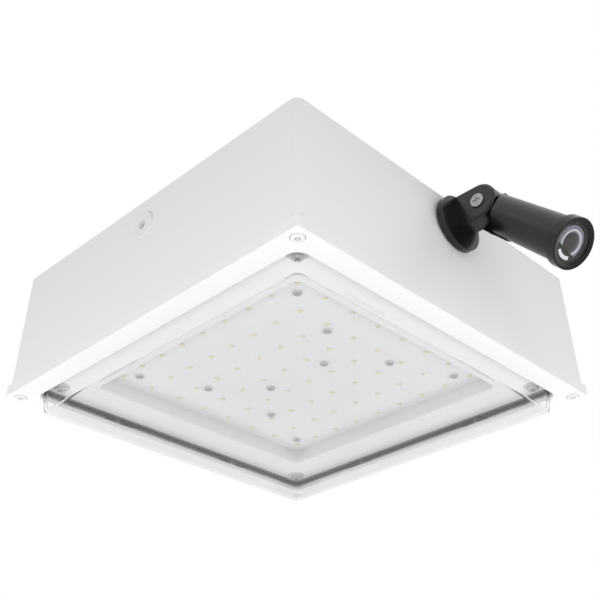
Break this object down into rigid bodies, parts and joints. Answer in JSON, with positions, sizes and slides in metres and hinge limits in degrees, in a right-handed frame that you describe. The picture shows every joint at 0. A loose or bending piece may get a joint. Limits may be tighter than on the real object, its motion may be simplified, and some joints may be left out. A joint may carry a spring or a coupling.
{
  "type": "surface light with motion sensor",
  "caption": "Square vandal-resistant surface light: cast housing, drop-off door frame with clear lens over a light board, and a swivel and tilt motion sensor on one side.",
  "frame": {"origin": "centre of the flat mounting face at the back of the housing", "axes": "+Z out of the mounting face towards the ceiling, -Z the way the light shines, -Y the side that carries the sensor"},
  "size_m": [0.3048, 0.3948, 0.1141],
  "materials": {
    "white_coat": "satin",
    "white_sheet": "satin",
    "clear_lens": "gloss",
    "brass": "satin",
    "black_rubber": "matte",
    "zinc_steel": "satin",
    "stainless": "satin",
    "board_white": "satin",
    "phosphor": "satin",
    "driver_coat": "satin",
    "terminal_nylon": "satin",
    "earth_green": "satin",
    "black_shell": "satin",
    "black_bezel": "gloss",
    "clear_window": "gloss",
    "grey_baffle": "matte",
    "white_ring": "satin",
    "dark_eye": "gloss",
    "green_board": "satin"
  },
  "bodies": {
    "body": {"housing": "white_coat", "frame_inserts": "brass", "entry_plugs": "white_coat", "base_seal": "black_rubber", "gear_tray": "white_sheet", "tray_washers": "black_rubber", "tray_screws": "zinc_steel", "led_board": "board_white", "led_packages": "phosphor", "board_screws": "zinc_steel", "driver_case": "driver_coat", "driver_screws": "zinc_steel", "terminal_block": "terminal_nylon", "terminal_screws": "zinc_steel", "ground_screw": "earth_green"},
    "door": {"door_frame": "white_coat", "housing_gasket": "black_rubber", "lens": "clear_lens", "lens_gasket": "black_rubber", "lens_retainers": "zinc_steel", "retainer_screws": "zinc_steel", "door_screws": "stainless", "captive_washers": "zinc_steel"},
    "sensor_arm": {"sensor_base": "black_shell", "stem_locknut": "zinc_steel", "pivot_screw": "stainless", "pivot_washer": "zinc_steel", "pivot_nut": "zinc_steel"},
    "sensor_head": {"tilt_saddle": "black_shell", "saddle_screws": "zinc_steel", "sensor_barrel": "black_shell", "barrel_rear_plug": "black_shell", "sensor_bezel": "black_bezel", "window_seal": "black_rubber", "sensor_window": "clear_window", "lens_holder": "black_bezel", "daylight_window": "clear_window", "sensor_baffle": "grey_baffle", "lens_ring": "white_ring", "sensor_eye": "dark_eye", "sensor_board": "green_board"}
  },
  "joints": [
    {"name": "door_drop", "type": "slide", "parent": "body", "child": "door", "axis": [0, 0, -1], "range_m": [0, 0.12]},
    {"name": "sensor_pan", "type": "hinge", "parent": "body", "child": "sensor_arm", "pos_m": [0.0032, -0.15634, -0.0218], "axis": [0, -1, 0], "range_deg": [-90, 0]},
    {"name": "sensor_tilt", "type": "hinge", "parent": "sensor_arm", "child": "sensor_head", "pos_m": [0.0131, -0.17364, -0.0146], "axis": [1, 0, 0], "range_deg": [-38, 40]}
  ]
}
